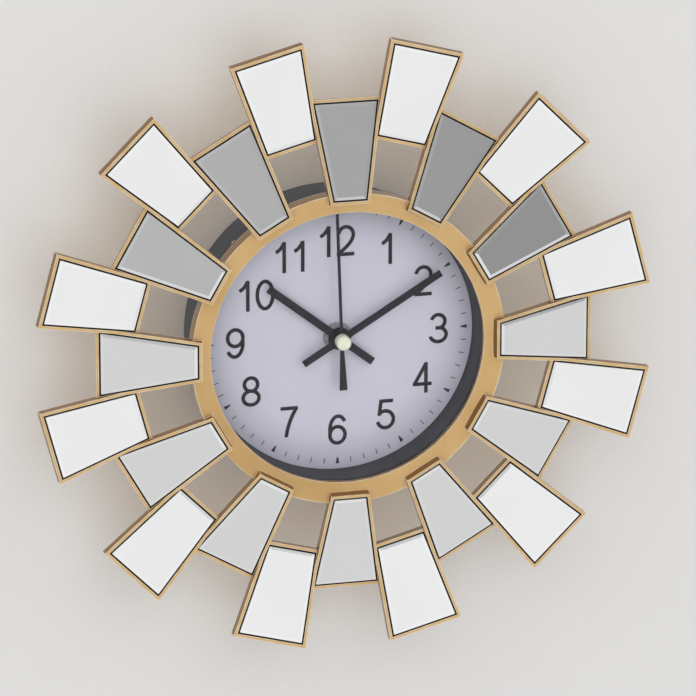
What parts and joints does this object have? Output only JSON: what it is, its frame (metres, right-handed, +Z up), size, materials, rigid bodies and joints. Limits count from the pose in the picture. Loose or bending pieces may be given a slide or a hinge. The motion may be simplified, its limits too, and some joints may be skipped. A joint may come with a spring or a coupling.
{
  "type": "mirror wall clock",
  "caption": "Sunburst wall clock: two staggered rows of bevelled mirror tiles in gilt trays round a recessed quartz dial with three hands, hung by a keyhole plate.",
  "frame": {"origin": "centre of the hanger plate's round keyhole, on the wall plane", "axes": "+Z up, +Y into the wall, so the dial faces -Y; +X to the right seen from the front"},
  "size_m": [0.2478, 0.0416, 0.2478],
  "materials": {
    "gilt_frame": "gold paint on moulded plastic, satin",
    "mirror_glass": "silvered glass with a ground bevel",
    "drum_plastic": "dark grey moulded plastic",
    "lens_glass": "clear and polished",
    "dial_face": "pale grey satin, printed with plain numbers",
    "hand_enamel": "dark grey enamel on stamped sheet",
    "hand_cap": "pale cream",
    "zinc_steel": "zinc plated",
    "motor_iron": "soft iron sheet",
    "brass": "turned",
    "nickel_plate": "turned and plated in satin nickel",
    "case_plastic": "black moulded plastic",
    "wheel_plastic": "natural white moulded plastic",
    "knob_plastic": "white moulded plastic",
    "rotor_magnet": "dark sintered magnet",
    "gasket_rubber": "black rubber",
    "battery_jacket": "plain printed jacket",
    "board_laminate": "green laminate",
    "crystal_can": "plated can",
    "bobbin_plastic": "cream moulded plastic",
    "coil_wire": "enamelled copper wire"
  },
  "bodies": {
    "clock_body": {"sunburst_frame": "gilt_frame", "inner_mirror_01": "mirror_glass", "inner_mirror_02": "mirror_glass", "inner_mirror_03": "mirror_glass", "inner_mirror_04": "mirror_glass", "inner_mirror_05": "mirror_glass", "inner_mirror_06": "mirror_glass", "inner_mirror_07": "mirror_glass", "inner_mirror_08": "mirror_glass", "inner_mirror_09": "mirror_glass", "inner_mirror_10": "mirror_glass", "inner_mirror_11": "mirror_glass", "inner_mirror_12": "mirror_glass", "outer_mirror_01": "mirror_glass", "outer_mirror_02": "mirror_glass", "outer_mirror_03": "mirror_glass", "outer_mirror_04": "mirror_glass", "outer_mirror_05": "mirror_glass", "outer_mirror_06": "mirror_glass", "outer_mirror_07": "mirror_glass", "outer_mirror_08": "mirror_glass", "outer_mirror_09": "mirror_glass", "outer_mirror_10": "mirror_glass", "outer_mirror_11": "mirror_glass", "outer_mirror_12": "mirror_glass", "dial_housing": "drum_plastic", "lens": "lens_glass", "dial": "dial_face", "frame_screws": "zinc_steel", "hanger_screws": "zinc_steel", "hanger_plate": "zinc_steel", "positive_contact": "zinc_steel", "negative_contact": "zinc_steel", "stator": "motor_iron", "coil_core": "motor_iron", "movement_nut": "nickel_plate", "nut_washer": "nickel_plate", "movement_front_case": "case_plastic", "movement_rear_cover": "case_plastic", "dial_gasket": "gasket_rubber", "battery": "battery_jacket", "circuit_board": "board_laminate", "quartz_crystal": "crystal_can", "coil_bobbin": "bobbin_plastic", "coil_winding": "coil_wire"},
    "minute_hand_set": {"center_wheel": "wheel_plastic", "minute_arbor": "brass", "minute_hand": "hand_enamel"},
    "second_hand_set": {"second_wheel": "wheel_plastic", "second_hand": "hand_enamel", "second_hand_cap": "hand_cap"},
    "hour_hand_set": {"hour_wheel": "wheel_plastic", "hour_hand": "hand_enamel"},
    "third_wheel_set": {"third_wheel": "wheel_plastic"},
    "intermediate_wheel_set": {"intermediate_wheel": "wheel_plastic"},
    "rotor_set": {"rotor": "rotor_magnet"},
    "minute_work_set": {"minute_work_wheel": "wheel_plastic"},
    "setting_knob_set": {"setting_knob": "knob_plastic"}
  },
  "joints": [
    {"name": "minute_hand_turn", "type": "hinge", "parent": "clock_body", "child": "minute_hand_set", "pos_m": [0, -0.026, -0.042], "axis": [0, 1, 0], "continuous": true},
    {"name": "second_hand_turn", "type": "hinge", "parent": "clock_body", "child": "second_hand_set", "pos_m": [0, -0.027, -0.042], "axis": [0, 1, 0], "continuous": true},
    {"name": "hour_hand_turn", "type": "hinge", "parent": "clock_body", "child": "hour_hand_set", "pos_m": [0, -0.024, -0.042], "axis": [0, 1, 0], "continuous": true},
    {"name": "third_wheel_turn", "type": "hinge", "parent": "clock_body", "child": "third_wheel_set", "pos_m": [-0.00846, -0.008, -0.0363], "axis": [0, 1, 0], "continuous": true},
    {"name": "intermediate_wheel_turn", "type": "hinge", "parent": "clock_body", "child": "intermediate_wheel_set", "pos_m": [0.0084, -0.008, -0.042], "axis": [0, 1, 0], "continuous": true},
    {"name": "rotor_turn", "type": "hinge", "parent": "clock_body", "child": "rotor_set", "pos_m": [0.01303, -0.008, -0.03648], "axis": [0, 1, 0], "continuous": true},
    {"name": "minute_work_turn", "type": "hinge", "parent": "clock_body", "child": "minute_work_set", "pos_m": [0, -0.011, -0.0324], "axis": [0, 1, 0], "continuous": true},
    {"name": "setting_knob_turn", "type": "hinge", "parent": "clock_body", "child": "setting_knob_set", "pos_m": [-0.00328, -0.006, -0.02338], "axis": [0, 1, 0], "continuous": true}
  ],
  "couplings": [
    {"joint": "second_hand_turn", "follows": "minute_hand_turn", "ratio": 60},
    {"joint": "hour_hand_turn", "follows": "minute_hand_turn", "ratio": 0.083333},
    {"joint": "third_wheel_turn", "follows": "minute_hand_turn", "ratio": -8},
    {"joint": "intermediate_wheel_turn", "follows": "minute_hand_turn", "ratio": -360},
    {"joint": "rotor_turn", "follows": "minute_hand_turn", "ratio": 1800},
    {"joint": "minute_work_turn", "follows": "minute_hand_turn", "ratio": -0.33333},
    {"joint": "setting_knob_turn", "follows": "minute_hand_turn", "ratio": 1}
  ]
}
